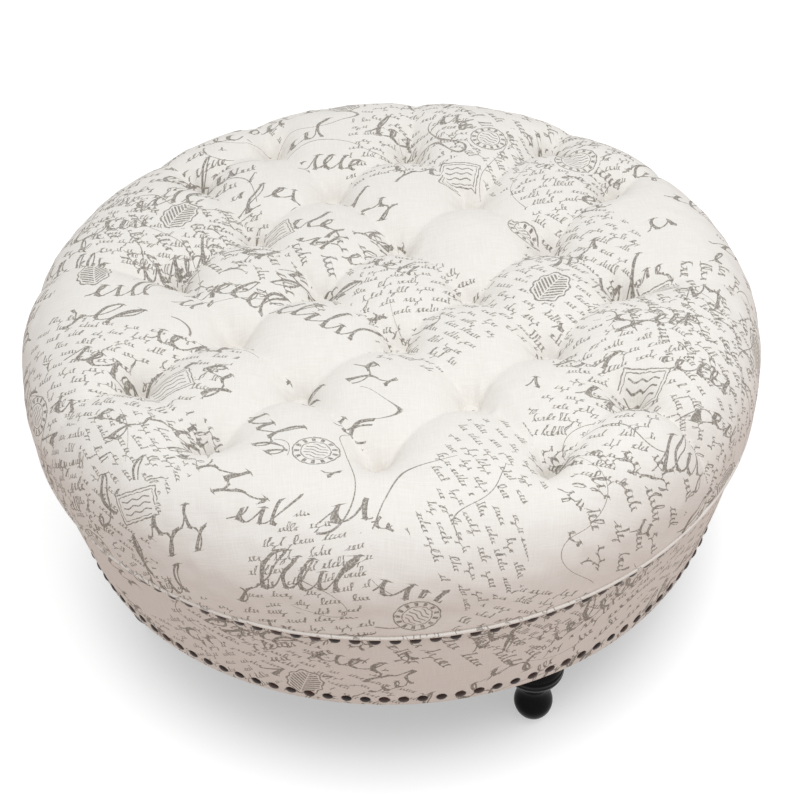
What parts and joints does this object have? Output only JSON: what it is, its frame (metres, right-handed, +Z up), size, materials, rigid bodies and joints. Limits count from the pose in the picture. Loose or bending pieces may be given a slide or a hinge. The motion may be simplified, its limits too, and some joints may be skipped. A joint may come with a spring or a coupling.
{
  "type": "round tufted pouf",
  "caption": "Round upholstered pouf: deep-tufted cushion sewn at a welt to a tapered cloth-covered drum with nailhead trim, on turned black legs.",
  "frame": {"origin": "on the floor under the middle of the pouf", "axes": "+Z up; +X to the right and +Y to the back as the picture shows the pouf"},
  "size_m": [0.8892, 0.8888, 0.436],
  "materials": {
    "cover_linen": "plain linen weave with a taupe pen-script print",
    "wadding_white": "bonded polyester wadding",
    "foam": "cut polyurethane foam",
    "twine": "waxed twine",
    "fibre_washer": "pressed fibre",
    "plywood": "sawn birch plywood",
    "frame_wood": "planed pine",
    "hardboard": "bent hardboard",
    "nail_bronze": "dark antique bronze",
    "leg_black": "black satin lacquer on turned hardwood",
    "glide_black": "moulded plastic",
    "dust_cloth": "black non-woven cloth",
    "steel": "zinc plated"
  },
  "bodies": {
    "root": {"top_cover": "cover_linen", "wadding": "wadding_white", "foam_core": "foam", "tuft_buttons": "cover_linen", "tuft_twines": "twine", "twine_washers": "fibre_washer", "deck_board": "plywood", "upper_ring": "plywood", "lower_ring": "plywood", "post_1": "frame_wood", "post_2": "frame_wood", "post_3": "frame_wood", "post_4": "frame_wood", "post_5": "frame_wood", "post_6": "frame_wood", "post_7": "frame_wood", "post_8": "frame_wood", "cross_rail_under": "frame_wood", "cross_rail_over": "frame_wood", "leg_block_1": "frame_wood", "leg_block_2": "frame_wood", "leg_block_3": "frame_wood", "leg_block_4": "frame_wood", "side_wall": "hardboard", "apron_padding": "wadding_white", "apron_cover": "cover_linen", "welt_piping": "cover_linen", "nails_upper": "nail_bronze", "nails_lower": "nail_bronze", "dust_cover": "dust_cloth", "dust_staples": "steel", "leg_1": "leg_black", "leg_2": "leg_black", "leg_3": "leg_black", "leg_4": "leg_black", "foot_glides": "glide_black", "leg_plates": "steel", "hanger_bolts": "steel", "tee_nuts": "steel", "deck_screws": "steel", "ring_screws": "steel", "rail_screws": "steel"}
  },
  "joints": []
}
